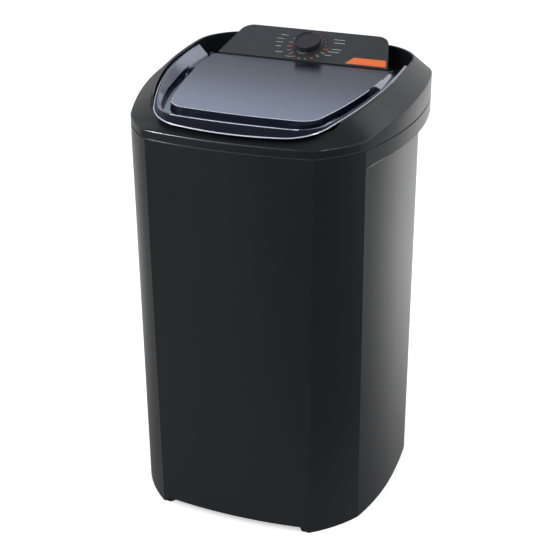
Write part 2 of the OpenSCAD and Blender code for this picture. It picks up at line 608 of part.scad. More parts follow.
bracket_t = 3;
bracket_screw_x = ear_x + ear_w + 7;
bracket_screw_y = hinge_y + 12;
module hinge_brackets() color(charcoal) for (s = [-1, 1]) difference() {
  union() {
    along_x(s > 0 ? ear_x : -ear_x - ear_w, hinge_y, hinge_z) cylinder(r = pin_r + 3.4, h = ear_w);
    translate([s > 0 ? ear_x : -ear_x - ear_w, hinge_y - 5, deck_z]) cube([ear_w, 10 + 6, hinge_z - deck_z]);
    translate([s > 0 ? ear_x : -ear_x - ear_w - 13, hinge_y - 5, deck_z]) cube([ear_w + 13, 24, bracket_t]);
  }
  along_x(s > 0 ? ear_x - 1 : -ear_x - ear_w - 1, hinge_y, hinge_z) cylinder(r = pin_r, h = ear_w + 2);
  translate([s * bracket_screw_x, bracket_screw_y, deck_z - 1]) cylinder(r = screw_r + running_gap, h = bracket_t + 2);
}

module hinge_bracket_screws() color(steel) for (s = [-1, 1]) translate([s * bracket_screw_x, bracket_screw_y, 0]) {
  translate([0, 0, deck_z + bracket_t]) cylinder(r = 3.4, h = 2.2);
  translate([0, 0, deck_z - frame_t - 5]) cylinder(r = screw_r, h = bracket_t + frame_t + 6);
}

module lid_hinge_pins() color(steel) for (s = [-1, 1])
  along_x(s > 0 ? ear_x + ear_w - pin_len : -ear_x - ear_w, hinge_y, hinge_z) cylinder(r = pin_r, h = pin_len);

// Control panel: a flat sloped plate on a housing
panel_x = centre_x - panel_in;
panel_rear_x = panel_x - panel_taper;
panel_y = hinge_y + panel_gap;
panel_z = seam_z + panel_rise;
panel_end_y = panel_y + panel_len * cos(panel_tilt);
panel_side = atan2(panel_x - panel_rear_x, panel_len);
function panel_half(d, len) =
  let (c = [panel_rear_x + (d == 0 ? 0 : -d) - panel_r, len - d - panel_r], r = panel_r)
  concat([[panel_x - d, d * 0.2]], [for (i = [0:10]) c + r * [cos(mix(panel_side, 90, i / 10)), sin(mix(panel_side, 90, i / 10))]]);
function panel_outline(d, len) = let (h = panel_half(d, len)) concat(h, [for (i = [len(h) - 1:-1:0]) flip(h[i])]);
module on_panel(u, v, lift = 0) translate([0, panel_y, panel_z]) rotate([panel_tilt, 0, 0]) translate([u, v, lift]) children();

module control_panel() color(slate) difference() {
  on_panel(0, 0, -panel_t) linear_extrude(panel_t) polygon(panel_outline(0, panel_len));
  on_panel(0, knob_v, -panel_t - 1) cylinder(r = timer_shaft_r + 1, h = panel_t + 2);
}

housing_t = 3;
housing_screw_at = [for (s = [-1, 1]) for (y = [panel_y + 14, panel_end_y - 16]) [s * (panel_rear_x - panel_r), y]];
module below_panel(gap) on_panel(-machine_w / 2, -panel_len / 2, -panel_t - gap - 2 * panel_len) cube([machine_w, 2 * panel_len, 2 * panel_len]);
module panel_housing() color(charcoal) difference() {
  intersection() {
    translate([0, panel_y, deck_z]) linear_extrude(100) polygon(panel_outline(1.5, panel_len * cos(panel_tilt)));
    below_panel(0);
  }
  intersection() {
    translate([0, panel_y, deck_z + 2]) linear_extrude(100) difference() {
      polygon(panel_outline(1.5 + housing_t, panel_len * cos(panel_tilt)));
      translate([-panel_x, -1]) square([2 * panel_x, housing_t + 1.5]);
    }
    below_panel(-1);
  }
  for (p = housing_screw_at) translate([p.x, p.y, deck_z - 1]) cylinder(r = screw_r + running_gap, h = 4);
  translate([loom_hole.x, loom_up_y, deck_z - 1]) cylinder(r = loom_hole_r, h = 4);
}

module housing_screws() color(steel) for (p = housing_screw_at) {
  translate([p.x, p.y, deck_z + 2]) cylinder(r = 3.2, h = 2);
  translate([p.x, p.y, deck_z - frame_t - 4]) cylinder(r = screw_r, h = frame_t + 7);
}

// Printed and stuck-on marks stand a hair above the panel
mark_h = 0.4;
mark_ring_r = knob_r + 5;
mark_step = 18;
module dial_marks() color(orange) for (k = [1:16]) on_panel(0, knob_v)
  rotate([0, 0, -90 - k * mark_step - 27]) translate([mark_ring_r, -0.7, 0]) cube([4, 1.4, mark_h]);

tag_w = 76;
tag_h = 21;
tag_slant = 14;
module panel_tag() color(orange) on_panel(panel_x - 6 - tag_w, 5)
  linear_extrude(mark_h) polygon([[-tag_slant, 0], [tag_w, 0], [tag_w - 5, tag_h], [0, tag_h]]);

timer_gap = 0.2;
module timer_case() color("#d8d8d2") difference() {
  union() {
    on_panel(0, knob_v, -panel_t - 1.5) translate([-30, -20, 0]) cube([60, 40, 1.5]);
    on_panel(0, knob_v, -panel_t - 1.5 - timer_h) cylinder(r = timer_r, h = timer_h + 1);
  }
  on_panel(0, knob_v, -panel_t - 16) cylinder(r = timer_shaft_r + running_gap, h = 20);
}

module timer_shaft() color(steel) on_panel(0, knob_v, -panel_t - 15.5)
  cylinder(r = timer_shaft_r, h = panel_t + 15.5 + knob_h - 6);

knob_sides = 12;
module timer_knob() color("#35363a") difference() {
  on_panel(0, knob_v, 0.4) {
    rotate_extrude($fn = 96) polygon([[0, 0], [knob_r, 0], [knob_r, 1.6], [knob_top_r - 1.5, 3.6], [0, 3.6]]);
    translate([0, 0, 1]) linear_extrude(knob_h - 1.4) rotate(15) circle(r = knob_top_r, $fn = knob_sides);
  }
  on_panel(0, knob_v, knob_h - 1.6) cylinder(r = knob_top_r - 4, h = 3);
  on_panel(0, knob_v, 0) cylinder(r = timer_shaft_r, h = knob_h - 6 + 0.2);
}

// Agitator on its shaft
agitator_z = tub_floor_z + agitator_gap;
hub_h = 50;
shaft_top_z = agitator_z + 34;
module at_hub(z) translate([0, hub_y, z]) children();
module agitator() color("#dfe3e6") difference() {
  union() {
    at_hub(agitator_z) rotate_extrude($fn = 96) polygon([[0, 0], [agitator_r - 4, 0], [agitator_r, 4], [agitator_r, 9],
      [agitator_r - 14, 15], [62, 24], [40, hub_h - 12], [30, hub_h], [0, hub_h]]);
    for (k = [0:vanes - 1]) at_hub(agitator_z) rotate([0, 0, k * 360 / vanes + 22.5]) rotate([90, 0, 0])
      translate([0, 0, -6]) linear_extrude(12)
        polygon([[24, 10], [agitator_r - 12, 10], [agitator_r - 12, 20], [agitator_r - 50, 33], [70, 42], [24, hub_h - 3]]);
  }
  at_hub(agitator_z - 1) cylinder(r = shaft_r, h = shaft_top_z - agitator_z + 1);
  at_hub(agitator_z - 1) cylinder(r = shaft_r - 3 + running_gap, h = hub_h + 2);
  at_hub(shaft_top_z + 4) cylinder(r = 16, h = hub_h);
  at_hub(agitator_z - 1) difference() {
    cylinder(r = agitator_r - 10, h = 7);
    cylinder(r = 26, h = 7);
  }
}

module agitator_screw() color(steel) {
  at_hub(shaft_top_z + 4) cylinder(r = 8, h = 5, $fn = 6);
  at_hub(shaft_top_z - 16) cylinder(r = shaft_r - 3, h = 21);
}

module agitator_cap() color("#3b4250") at_hub(agitator_z + hub_h) {
  rotate_extrude($fn = 64) polygon([[0, 0], [29, 0], [29, 3], [22, 8], [0, 10]]);
  translate([0, 0, -2.6]) difference() {
    cylinder(r = 15.7, h = 3);
    translate([0, 0, -1]) cylinder(r = 13, h = 3.4);
  }
}

shaft_low_z = belt_z - 34;
pulley_h = 24;
module drive_shaft() color(steel) difference() {
  union() {
    at_hub(belt_z - pulley_h / 2) cylinder(r = shaft_r, h = shaft_top_z - belt_z + pulley_h / 2);
    at_hub(shaft_low_z) cylinder(r = shaft_r - 3, h = 30);
  }
  at_hub(shaft_top_z - 18) cylinder(r = shaft_r - 3, h = 20);
}

// Bearing housing bolted under the tub's floor
housing_r = 24;
bush_r = shaft_r + 4;
bush_h = 18;
housing_low_z = belt_z + 30;
bolt_r = 2.5;
flange_r = housing_r + 48;
bolt_ring_r = flange_r - 14;
bearing_bolt_at = [for (k = [0:3]) [bolt_ring_r * cos(45 + 90 * k), hub_y + bolt_ring_r * sin(45 + 90 * k)]];
housing_top_z = tub_floor_z + 1;
seal_h = 6;
module bearing_housing() color("#8d9296") difference() {
  union() {
    at_hub(floor_low_z - 6) cylinder(r = flange_r, h = 6);
    at_hub(housing_low_z) cylinder(r = housing_r, h = floor_low_z - housing_low_z);
    at_hub(floor_low_z - 1) cylinder(r = hub_hole_r - 0.3, h = housing_top_z - floor_low_z + 1);
    for (k = [0:3]) at_hub(housing_low_z + 12) rotate([0, 0, 90 * k]) rotate([90, 0, 0]) translate([0, 0, -3])
      linear_extrude(6) polygon([[housing_r - 3, 0], [housing_r, 0], [flange_r - 8, floor_low_z - housing_low_z - 17], [housing_r - 3, floor_low_z - housing_low_z - 17]]);
  }
  at_hub(housing_low_z - 1) cylinder(r = bush_r, h = 100);
  at_hub(housing_top_z - seal_h) cylinder(r = bush_r + 3, h = seal_h + 1);
  for (p = bearing_bolt_at) translate([p.x, p.y, floor_low_z - 7]) cylinder(r = bolt_r + running_gap, h = 8);
}

module bearing_bolts() color(steel) for (p = bearing_bolt_at) {
  translate([p.x, p.y, floor_low_z - 10]) cylinder(r = 5, h = 4, $fn = 6);
  translate([p.x, p.y, floor_low_z - 10]) cylinder(r = bolt_r, h = 13.5);
  translate([p.x, p.y, tub_floor_z]) cylinder(r = 5.5, h = 2.2);
}

module bush(z) at_hub(z) difference() {
  cylinder(r = bush_r, h = bush_h);
  translate([0, 0, -1]) cylinder(r = shaft_r + running_gap, h = bush_h + 2);
}
module upper_bush() color("#9a7b4f") bush(housing_top_z - seal_h - bush_h);
module lower_bush() color("#9a7b4f") bush(housing_low_z + 2);
module shaft_seal() color(rubber) at_hub(housing_top_z - seal_h) difference() {
  cylinder(r = bush_r + 3, h = seal_h);
  translate([0, 0, -1]) cylinder(r = shaft_r + running_gap, h = seal_h + 2);
}

// Pulley profile with a V groove: outer radius, groove depth, bore
groove_d = belt_t + 2.5;
module pulley(r, bore, hub, web_r) rotate_extrude($fn = 96) {
  h = pulley_h / 2;
  polygon([[bore, -h], [hub, -h], [hub, -4], [web_r, -4], [web_r, -h + 2], [r, -h + 2], [r, -belt_t / 2 - 3],
    [r - groove_d, -belt_t / 2 - 0.5], [r - groove_d, belt_t / 2 + 0.5], [r, belt_t / 2 + 3], [r, h - 2],
    [web_r, h - 2], [web_r, 4], [hub, 4], [hub, h], [bore, h]]);
}
module drive_pulley() color("#9aa0a4") difference() {
  at_hub(belt_z) pulley(pulley_r, shaft_r, 20, pulley_r - groove_d - 6);
  for (k = [0:4]) at_hub(belt_z - 5) rotate([0, 0, 72 * k]) translate([56, 0, 0]) cylinder(r = 20, h = 10);
  at_hub(belt_z - pulley_h) cylinder(r = shaft_r, h = 2 * pulley_h);
}

module pulley_nut() color(steel) at_hub(belt_z - pulley_h / 2 - 8) difference() {
  cylinder(r = 12, h = 8, $fn = 6);
  translate([0, 0, -1]) cylinder(r = shaft_r - 3, h = 10);
}

// Belt round both pulleys. The motor's axis lies straight behind the drive shaft
belt_in = 1.2;
function belt_line(grow) =
  let (big = pulley_r - groove_d + belt_in + grow, small = motor_pulley_r - groove_d + belt_in + grow,
       a = acos((big - small) / belt_centres))
  concat([for (i = [0:24]) [0, belt_centres] + small * [cos(mix(90 - a, 90 + a, i / 24)), sin(mix(90 - a, 90 + a, i / 24))]],
         [for (i = [0:48]) big * [cos(mix(90 + a, 450 - a, i / 48)), sin(mix(90 + a, 450 - a, i / 48))]]);
module drive_belt() color(rubber) at_hub(belt_z - belt_t / 2) linear_extrude(belt_t) difference() {
  polygon(belt_line(belt_t));
  polygon(belt_line(0));
}

// Motor under the tub's floor, on a bracket with rubber mounts
motor_y = hub_y + belt_centres;
mount_h = 3;
plate_t = 3;
bracket_z = floor_low_z - mount_h - plate_t;
mount_r = 10;
bracket_w = 2 * (motor_r + 33);
bracket_front = motor_r + 13;
bracket_rear = motor_r - 10;
mount_at = [for (sx = [-1, 1]) for (dy = [mount_r + 4 - bracket_front, 4]) [sx * (bracket_w / 2 - mount_r - 2), motor_y + dy]];
motor_screw_at = [for (k = [0:3]) [(motor_r - 12) * cos(45 + 90 * k), motor_y + (motor_r - 12) * sin(45 + 90 * k)]];
module at_motor(z) translate([0, motor_y, z]) children();

module motor_bracket() color("#77797b") difference() {
  translate([-bracket_w / 2, motor_y - bracket_front, bracket_z]) cube([bracket_w, bracket_front + bracket_rear, plate_t]);
  at_motor(bracket_z - 1) cylinder(r = 20, h = plate_t + 2);
  for (p = mount_at) translate([p.x, p.y, bracket_z - 1]) cylinder(r = bolt_r + running_gap, h = plate_t + 2);
  for (p = motor_screw_at) translate([p.x, p.y, bracket_z - 1]) cylinder(r = screw_r + running_gap, h = plate_t + 2);
}

module motor_mounts() color(rubber) for (p = mount_at) translate([p.x, p.y, bracket_z + plate_t]) difference() {
  cylinder(r = mount_r, h = mount_h);
  translate([0, 0, -1]) cylinder(r = bolt_r + running_gap, h = mount_h + 2);
}

module motor_screws() color(steel) {
  for (p = mount_at) {
    translate([p.x, p.y, bracket_z - 3]) cylinder(r = 5, h = 3, $fn = 6);
    translate([p.x, p.y, bracket_z - 3]) cylinder(r = bolt_r, h = plate_t + mount_h + tub_wall + 3.5);
    translate([p.x, p.y, tub_floor_z]) cylinder(r = 5.5, h = 2.2);
  }
  for (p = motor_screw_at) {
    translate([p.x, p.y, bracket_z + plate_t]) cylinder(r = 2.9, h = 1.8);
    translate([p.x, p.y, bracket_z - 8]) cylinder(r = screw_r, h = plate_t + 9);
  }
}

motor_low_z = bracket_z - motor_h;
terminal_z = bracket_z - motor_h / 2;
terminal_r = motor_r + 14;
module motor() color("#5c6063") difference() {
  union() {
    at_motor(motor_low_z) rotate_extrude($fn = 96) polygon([[0, 0], [motor_r - 12, 0], [motor_r, 10], [motor_r, motor_h - 10],
      [motor_r - 8, motor_h], [0, motor_h]]);
    for (k = [0:23]) at_motor(motor_low_z + 12) rotate([0, 0, 15 * k]) translate([motor_r - 2, -1.5, 0]) cube([5, 3, motor_h - 24]);
    at_motor(terminal_z - 14) rotate([0, 0, 135]) translate([motor_r - 6, -16, 0]) cube([terminal_r - motor_r + 6, 32, 28]);
  }
  at_motor(motor_low_z - 1) cylinder(r = motor_shaft_r + running_gap, h = motor_h - 8);
  for (p = motor_screw_at) translate([p.x, p.y, bracket_z - 10]) cylinder(r = screw_r + running_gap, h = 11);
}

fan_h = 12;
motor_shaft_low_z = belt_z - pulley_h / 2 - fan_h - 4;
module motor_shaft() color(steel) at_motor(motor_shaft_low_z)
  cylinder(r = motor_shaft_r, h = motor_low_z + motor_h - 12 - motor_shaft_low_z);

module motor_pulley() color("#9aa0a4") difference() {
  at_motor(belt_z) pulley(motor_pulley_r, motor_shaft_r, 11, 13);
  at_motor(belt_z - pulley_h) cylinder(r = motor_shaft_r, h = 2 * pulley_h);
}

fan_r = 46;
module motor_fan() color("#e8e8e4") difference() {
  at_motor(belt_z - pulley_h / 2 - fan_h - 1) {
    cylinder(r = 14, h = fan_h);
    translate([0, 0, fan_h - 2]) cylinder(r = fan_r, h = 2);
    for (k = [0:7]) rotate([0, 0, 45 * k]) translate([12, -1, 0]) cube([fan_r - 14, 2, fan_h]);
  }
  at_motor(belt_z - 60) cylinder(r = motor_shaft_r, h = 80);
}

cap_r = 16;
cap_h = 60;
cap_x = -(motor_r + 3 + cap_r + 3);
cap_low_z = bracket_z - cap_h;
cap_y = motor_y + (mount_r + 8 - bracket_front) / 2;
module capacitor() color("#d9dadb") translate([cap_x, cap_y, cap_low_z]) {
  cylinder(r = cap_r, h = cap_h);
  for (s = [-1, 1]) translate([s * 6 - 1, -3, -8]) cube([2, 6, 8.5]);
}
module capacitor_clip() color(steel) translate([cap_x, cap_y, 0]) {
  translate([0, 0, bracket_z - 30]) difference() {
    cylinder(r = cap_r + 1.5, h = 14);
    translate([0, 0, -1]) cylinder(r = cap_r, h = 16);
  }
  translate([-8, cap_r + 0.2, bracket_z - 30]) cube([16, 1.5, 30]);
}

// Wiring from the timer down between tub and cabinet to the motor's terminal box
loom_r = 3.5;
loom_hole_r = loom_r + 2;
loom_up_y = panel_end_y - 26;
function from_motor(r, z) = [-r * cos(45), motor_y + r * sin(45), z];
loom_points = [
  [-timer_r - 0.5, panel_y + 40, deck_z + 22],
  [-timer_r - 20, panel_y + 40, deck_z + 14],
  [loom_hole.x, loom_up_y, deck_z + 12],
  [loom_hole.x, loom_up_y, deck_z - 20],
  [loom_hole.x, loom_hole.y, deck_z - 24],
  [loom_hole.x, loom_hole.y, tub_floor_z + 10],
  [loom_hole.x, loom_hole.y - 24, terminal_z],
  from_motor(terminal_r + 20, terminal_z),
  from_motor(terminal_r, terminal_z)
];
module wiring_loom() color(rubber) tube(eased(loom_points, 8), loom_r, 12);

// Lint filter: a framed screen that lifts out of its seat
module lint_filter() color("#e9edf0") difference() {
  union() {
    translate([seat_x + filter_gap, -filter_w / 2, seat_z]) cube([filter_t, filter_w, filter_h]);
    translate([seat_x + filter_gap, -15, seat_z + filter_h - 1]) cube([filter_t, 30, 13]);
  }
  for (i = [-3:3]) for (k = [0:4]) translate([seat_x - 1, i * 10 - 3, seat_z + 14 + k * 24]) cube([filter_t + 3, 6, 18]);
}

// Drain: grille, elbow, inner hose and outlet
grille_r = spigot_r + 10;
module drain_grille() color("#e9edf0") translate([drain_at.x, drain_at.y, tub_floor_z]) difference() {
  cylinder(r = grille_r, h = 2.4);
  for (k = [0:5]) rotate([0, 0, 60 * k]) translate([7, 0, -1]) cylinder(r = 2, h = 5);
  translate([0, 0, -1]) cylinder(r = 2, h = 5);
}

elbow_low_z = floor_low_z - 44;
bore_r = spigot_r - 2.5;
module drain_elbow() color("#3a3d40") translate([drain_at.x, drain_at.y, 0]) difference() {
  union() {
    translate([0, 0, floor_low_z - 4]) cylinder(r = grille_r + 2, h = 4);
    translate([0, 0, elbow_low_z]) cylinder(r = spigot_r, h = 41);
    translate([0, 0, floor_low_z - 1]) cylinder(r = spigot_r + 1.7, h = tub_wall);
  }
  translate([0, 0, elbow_low_z - 1]) cylinder(r = bore_r, h = 60);
}

hose_r = spigot_r + hose_wall;
bend_r = 52;
hose_top_z = floor_low_z - 10;
outlet_in_y = pad_in_y - 34;
hose_end_y = outlet_in_y + 22;
module drain_hose() color("#4a4d50") {
  translate([drain_at.x, drain_at.y, outlet_z + bend_r]) sleeve(hose_top_z - outlet_z - bend_r);
  translate([drain_at.x, drain_at.y + bend_r, outlet_z + bend_r]) rotate([0, 90, 0]) rotate(-90)
    rotate_extrude(angle = 90) translate([bend_r, 0]) difference() {
      circle(r = hose_r);
      circle(r = spigot_r);
    }
  along_y(drain_at.x, drain_at.y + bend_r, outlet_z) sleeve(hose_end_y - drain_at.y - bend_r);
}
module sleeve(h) difference() {
  cylinder(r = hose_r, h = h);
  translate([0, 0, -1]) cylinder(r = spigot_r, h = h + 2);
}

module clamp_ring() difference() {
  cylinder(r = hose_r + 1.2, h = 8);
  translate([0, 0, -1]) cylinder(r = hose_r, h = 10);
}
module hose_clamps() color(steel) {
  translate([drain_at.x, drain_at.y, hose_top_z - 18]) clamp_ring();
  along_y(drain_at.x, hose_end_y - 16, outlet_z) clamp_ring();
}

outlet_out_y = back_y - 1;
module drain_outlet() color("#3a3d40") difference() {
  union() {
    along_y(drain_x, outlet_in_y, outlet_z) cylinder(r = spigot_r, h = outlet_out_y - outlet_in_y);
    along_y(drain_x, pad_y, outlet_z) cylinder(r = spigot_r + 8, h = 3);
  }
  along_y(drain_x, outlet_in_y - 1, outlet_z) cylinder(r = bore_r, h = 100);
}

module outlet_nut() color("#3a3d40") along_y(drain_x, pad_in_y - 8, outlet_z) difference() {
  cylinder(r = spigot_r + 7, h = 8, $fn = 6);
  translate([0, 0, -1]) cylinder(r = spigot_r, h = 10);
}

module cable_gland() color(rubber) difference() {
  union() {
    along_y(-gland_x, pad_in_y - 3, gland_z) cylinder(r = gland_r, h = pad_y - pad_in_y + 6);
    along_y(-gland_x, pad_y, gland_z) cylinder(r = gland_r + 4, h = 3);
    along_y(-gland_x, pad_in_y - 3, gland_z) cylinder(r = gland_r + 3, h = 3);
  }
  along_y(-gland_x, pad_in_y - 5, gland_z) cylinder(r = 3.6, h = 60);
}

cabinet();
base_cover();
base_screws();
feet();
wash_tub();
top_frame();
frame_screws();
lid();
lid_buffers();
hinge_brackets();
hinge_bracket_screws();
lid_hinge_pins();
panel_housing();
housing_screws();
control_panel();
dial_marks();
panel_tag();
timer_case();
timer_shaft();
timer_knob();
agitator();
agitator_screw();
agitator_cap();
drive_shaft();
bearing_housing();
bearing_bolts();
upper_bush();
lower_bush();
shaft_seal();
drive_pulley();
pulley_nut();
drive_belt();
motor();
motor_shaft();
motor_pulley();
motor_fan();
motor_bracket();
motor_mounts();
motor_screws();
capacitor();
capacitor_clip();
wiring_loom();
lint_filter();
drain_grille();
drain_elbow();
drain_hose();
hose_clamps();
drain_outlet();
outlet_nut();
cable_gland();
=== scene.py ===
import math
import bmesh
import bpy
from mathutils import Matrix, Vector


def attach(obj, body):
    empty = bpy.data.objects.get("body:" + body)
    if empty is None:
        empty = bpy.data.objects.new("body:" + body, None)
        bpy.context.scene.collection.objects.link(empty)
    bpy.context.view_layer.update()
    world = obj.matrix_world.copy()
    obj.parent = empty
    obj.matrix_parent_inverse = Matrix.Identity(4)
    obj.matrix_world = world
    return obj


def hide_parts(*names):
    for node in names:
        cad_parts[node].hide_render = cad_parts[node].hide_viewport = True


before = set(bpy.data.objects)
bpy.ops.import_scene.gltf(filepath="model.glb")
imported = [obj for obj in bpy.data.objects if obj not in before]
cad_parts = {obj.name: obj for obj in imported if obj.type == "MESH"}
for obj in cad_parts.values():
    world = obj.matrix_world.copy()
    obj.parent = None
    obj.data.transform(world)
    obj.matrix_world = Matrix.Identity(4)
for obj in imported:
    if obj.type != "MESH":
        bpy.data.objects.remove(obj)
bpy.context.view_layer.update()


# The camera stands in front of the machine, to its right and above it, and looks down at it. The lens
# is a long one, and its small shift centres the machine in the square picture.
sight = Vector((0.0, -0.015, 0.4925))
azimuth = math.radians(21.18)
elevation = math.radians(24.38)
distance = 2.9186
level = math.cos(elevation)
back = Vector((math.sin(azimuth) * level, -math.cos(azimuth) * level, math.sin(elevation)))
lens = bpy.data.cameras.new("camera")
lens.sensor_width = 36
lens.lens = 86.34
lens.shift_x = 0.0075
lens.shift_y = -0.0245
lens.clip_end = 60
camera = bpy.data.objects.new("camera", lens)
camera.location = sight + back * distance
camera.rotation_euler = (-back).to_track_quat("-Z", "Y").to_euler()
bpy.context.scene.collection.objects.link(camera)
bpy.context.scene.camera = camera
bpy.context.scene.view_settings.view_transform = "Standard"


# The machine stands on a wide pale floor. Wire wraps a shader socket, so that a finish reads as sums:
# blend() mixes two colours, along() measures in one direction, fade() eases from one level to another,
# node() adds any other node, and to() plugs the result in.
class Wire:
    def __init__(self, tree, socket):
        self.tree = tree
        self.socket = socket

    def node(self, kind, settings, inputs, out=0):
        made = self.tree.nodes.new("ShaderNode" + kind)
        for name, value in settings.items():
            setattr(made, name, value)
        for name, value in inputs.items():
            if isinstance(value, Wire):
                self.tree.links.new(value.socket, made.inputs[name])
            else:
                made.inputs[name].default_value = value
        return Wire(self.tree, made.outputs[out])

    def maths(self, operation, first, second):
        return self.node("Math", {"operation": operation}, {0: first, 1: second})

    def __add__(self, other):
        return self.maths("ADD", self, other)

    def __radd__(self, other):
        return self.maths("ADD", other, self)

    def __sub__(self, other):
        return self.maths("SUBTRACT", self, other)

    def __rsub__(self, other):
        return self.maths("SUBTRACT", other, self)

    def __mul__(self, other):
        return self.maths("MULTIPLY", self, other)

    def __rmul__(self, other):
        return self.maths("MULTIPLY", other, self)

    def either(self, other):
        return self.maths("MAXIMUM", self, other)

    def blend(self, low, high):
        return self.node("Mix", {"data_type": "RGBA"}, {0: self, 6: low, 7: high}, 2)

    def along(self, x, y, z):
        return self.node("VectorMath", {"operation": "DOT_PRODUCT"}, {0: self, 1: (x, y, z)}, 1)

    def fade(self, start, end, low, high):
        return self.node("MapRange", {"interpolation_type": "SMOOTHSTEP"},
                         {"Value": self, "From Min": start, "From Max": end, "To Min": low, "To Max": high})

    def to(self, shader, name):
        self.tree.links.new(self.socket, shader.inputs[name])


def new_finish(name):
    made = bpy.data.materials.new(name)
    made.use_nodes = True
    tree = made.node_tree
    place = Wire(tree, tree.nodes.new("ShaderNodeTexCoord").outputs["Object"])
    return made, tree.nodes["Principled BSDF"], place


floor_half = 12
camera_glow = 0.55
floor_finish, floor_shader, floor_place = new_finish("studio_floor")
floor_rays = floor_finish.node_tree.nodes.new("ShaderNodeLightPath")
floor_seen = Wire(floor_finish.node_tree, floor_rays.outputs["Is Camera Ray"])
floor_mirrored = Wire(floor_finish.node_tree, floor_rays.outputs["Is Glossy Ray"])
floor_cloud = floor_place.node("TexNoise", {}, {"Vector": floor_place, "Scale": 1.5})
floor_paint = floor_cloud.blend((0.94, 0.94, 0.945, 1), (0.92, 0.92, 0.925, 1))
# The floor's paint is pale, but in a mirror its colour is near-black, so that only the painted glow below
# shows there.
floor_mirrored.blend(floor_paint, (0.04, 0.04, 0.042, 1)).to(floor_shader, "Base Color")

# To the camera the floor glows a little, so that it looks white and keeps the machine's shadow.
# In a mirror a painted glow makes it bright behind the machine, less so far off and out to the sides, and
# dim in front: a painted reflection in place of the lit floor's own.
floor_backward = floor_place.along(0.0, 1.0, 0.0)
floor_sideways = floor_place.along(1.0, 0.0, 0.0)
floor_glare = floor_backward.fade(-0.25, 1.35, 0.21, 1.25)
floor_glare = floor_glare * floor_sideways.fade(-2.2, -0.6, 0.42, 1.0)
floor_glare = floor_glare * (floor_sideways - floor_backward * 0.5).fade(0.2, 0.9, 1.0, 0.35)
floor_glare = floor_glare * floor_backward.fade(2.4, 5.0, 1.0, 0.45)
floor_glow = floor_seen * camera_glow + floor_mirrored * floor_glare
floor_glow.to(floor_shader, "Emission Color")
floor_shader.inputs["Emission Strength"].default_value = 1.0
floor_shader.inputs["Roughness"].default_value = 0.9
floor_shader.inputs["Specular IOR Level"].default_value = 0.1
floor_form = bmesh.new()
bmesh.ops.create_grid(floor_form, x_segments=4, y_segments=4, size=floor_half)
floor_mesh = bpy.data.meshes.new("studio_floor")
floor_form.to_mesh(floor_mesh)
floor = bpy.data.objects.new("studio_floor", floor_mesh)
bpy.context.scene.collection.objects.link(floor)
floor_mesh.materials.append(floor_finish)


# The surround is white to the camera. A mirror sees it bright behind the machine, dim in front and
# overhead, and half as bright on the left as on the right.
world = bpy.data.worlds.new("studio")
bpy.context.scene.world = world
world.use_nodes = True
sky = world.node_tree
ray = sky.nodes.new("ShaderNodeLightPath")
seen = Wire(sky, ray.outputs["Is Camera Ray"])
mirrored = Wire(sky, ray.outputs["Is Glossy Ray"])
through = Wire(sky, ray.outputs["Is Transmission Ray"])
heading = Wire(sky, sky.nodes.new("ShaderNodeTexCoord").outputs["Generated"])
gleam = heading.along(0.0, 1.0, 0.0).fade(-0.35, 0.3, 0.25, 1.0)
gleam = gleam * heading.along(0.0, 0.0, 1.0).fade(0.60, 0.80, 1.0, 0.16)
gleam = gleam * heading.along(1.0, 0.0, 0.0).fade(-0.35, 0.2, 0.45, 0.9)
sky_light = seen.either(through).blend((0.47, 0.47, 0.48, 1), (1, 1, 1, 1))
mirrored.blend(sky_light, gleam).to(sky.nodes["Background"], "Color")


# The soft boxes hang round the machine and are turned to face a point on it. Three of them are lamps,
# which light it and aren't mirrored in it. The cards are only mirrored, as a studio's white boards are,
# and lay the bright streaks and soft grades on the glossy shells.
def soft_box(name, place, aim, width, height, power, roll=0.0, is_card=False):
    light = bpy.data.lights.new(name, "AREA")
    light.shape = "RECTANGLE"
    light.size = width
    light.size_y = height
    light.energy = power
    lamp = bpy.data.objects.new(name, light)
    lamp.location = place
    facing = (Vector(aim) - Vector(place)).to_track_quat("-Z", "Y").to_matrix()
    lamp.rotation_euler = (facing @ Matrix.Rotation(roll, 3, "Z")).to_euler()
    lamp.visible_glossy = is_card
    lamp.visible_diffuse = not is_card
    lamp.visible_camera = not is_card
    bpy.context.scene.collection.objects.link(lamp)


soft_box("key_light", (-1.6, -2.2, 3.0), (0, 0, 0.6), 1.6, 1.6, 38)

# Each card's name, place, aim, width, height and power, and its roll where it has one.
for card in (("shine_card", (-1.1, -1.9, 3.1), (0, 0, 0.85), 1.9, 1.5, 22),
             ("back_card", (-0.527, 1.031, 1.645), (0.233, 0.231, 0.945), 0.83, 0.50, 1.95, -0.33),
             ("corner_card", (2.5, -1.0, 3.0), (0.2, -0.2, 0.88), 0.7, 0.7, 24),
             ("edge_card", (2.0, 1.45, 2.7), (0.2, -0.1, 0.90), 0.8, 0.8, 3),
             ("streak_card", (-1.74, -1.55, 1.70), (-0.16, -0.27, 0.86), 0.5, 0.25, 120),
             ("wing_card", (0.22, 1.38, 1.67), (0.21, 0.03, 0.90), 0.28, 0.34, 0.65)):
    soft_box(*card, is_card=True)
cool_white = (0.72, 0.82, 1.0)
bpy.data.lights["back_card"].color = cool_white
soft_box("top_light", (0.3, 0.6, 3.4), (0, 0, 0.8), 2.2, 2.2, 32)
soft_box("side_light", (3.2, 0.8, 1.4), (0, 0, 0.5), 1.6, 2.4, 22)


# The cabinet is one injection-moulded shell of black polypropylene, semi-gloss, with a grip band that
# overhangs at the sides and the back. A moulded surface has an even grain, finer for a larger number,
# and its colour and gloss wander slightly.
def mottled(pattern, colour, darkest, palest):
    low = tuple(c * darkest for c in colour) + (1,)
    high = tuple(min(1, c * palest) for c in colour) + (1,)
    return pattern.blend(low, high)


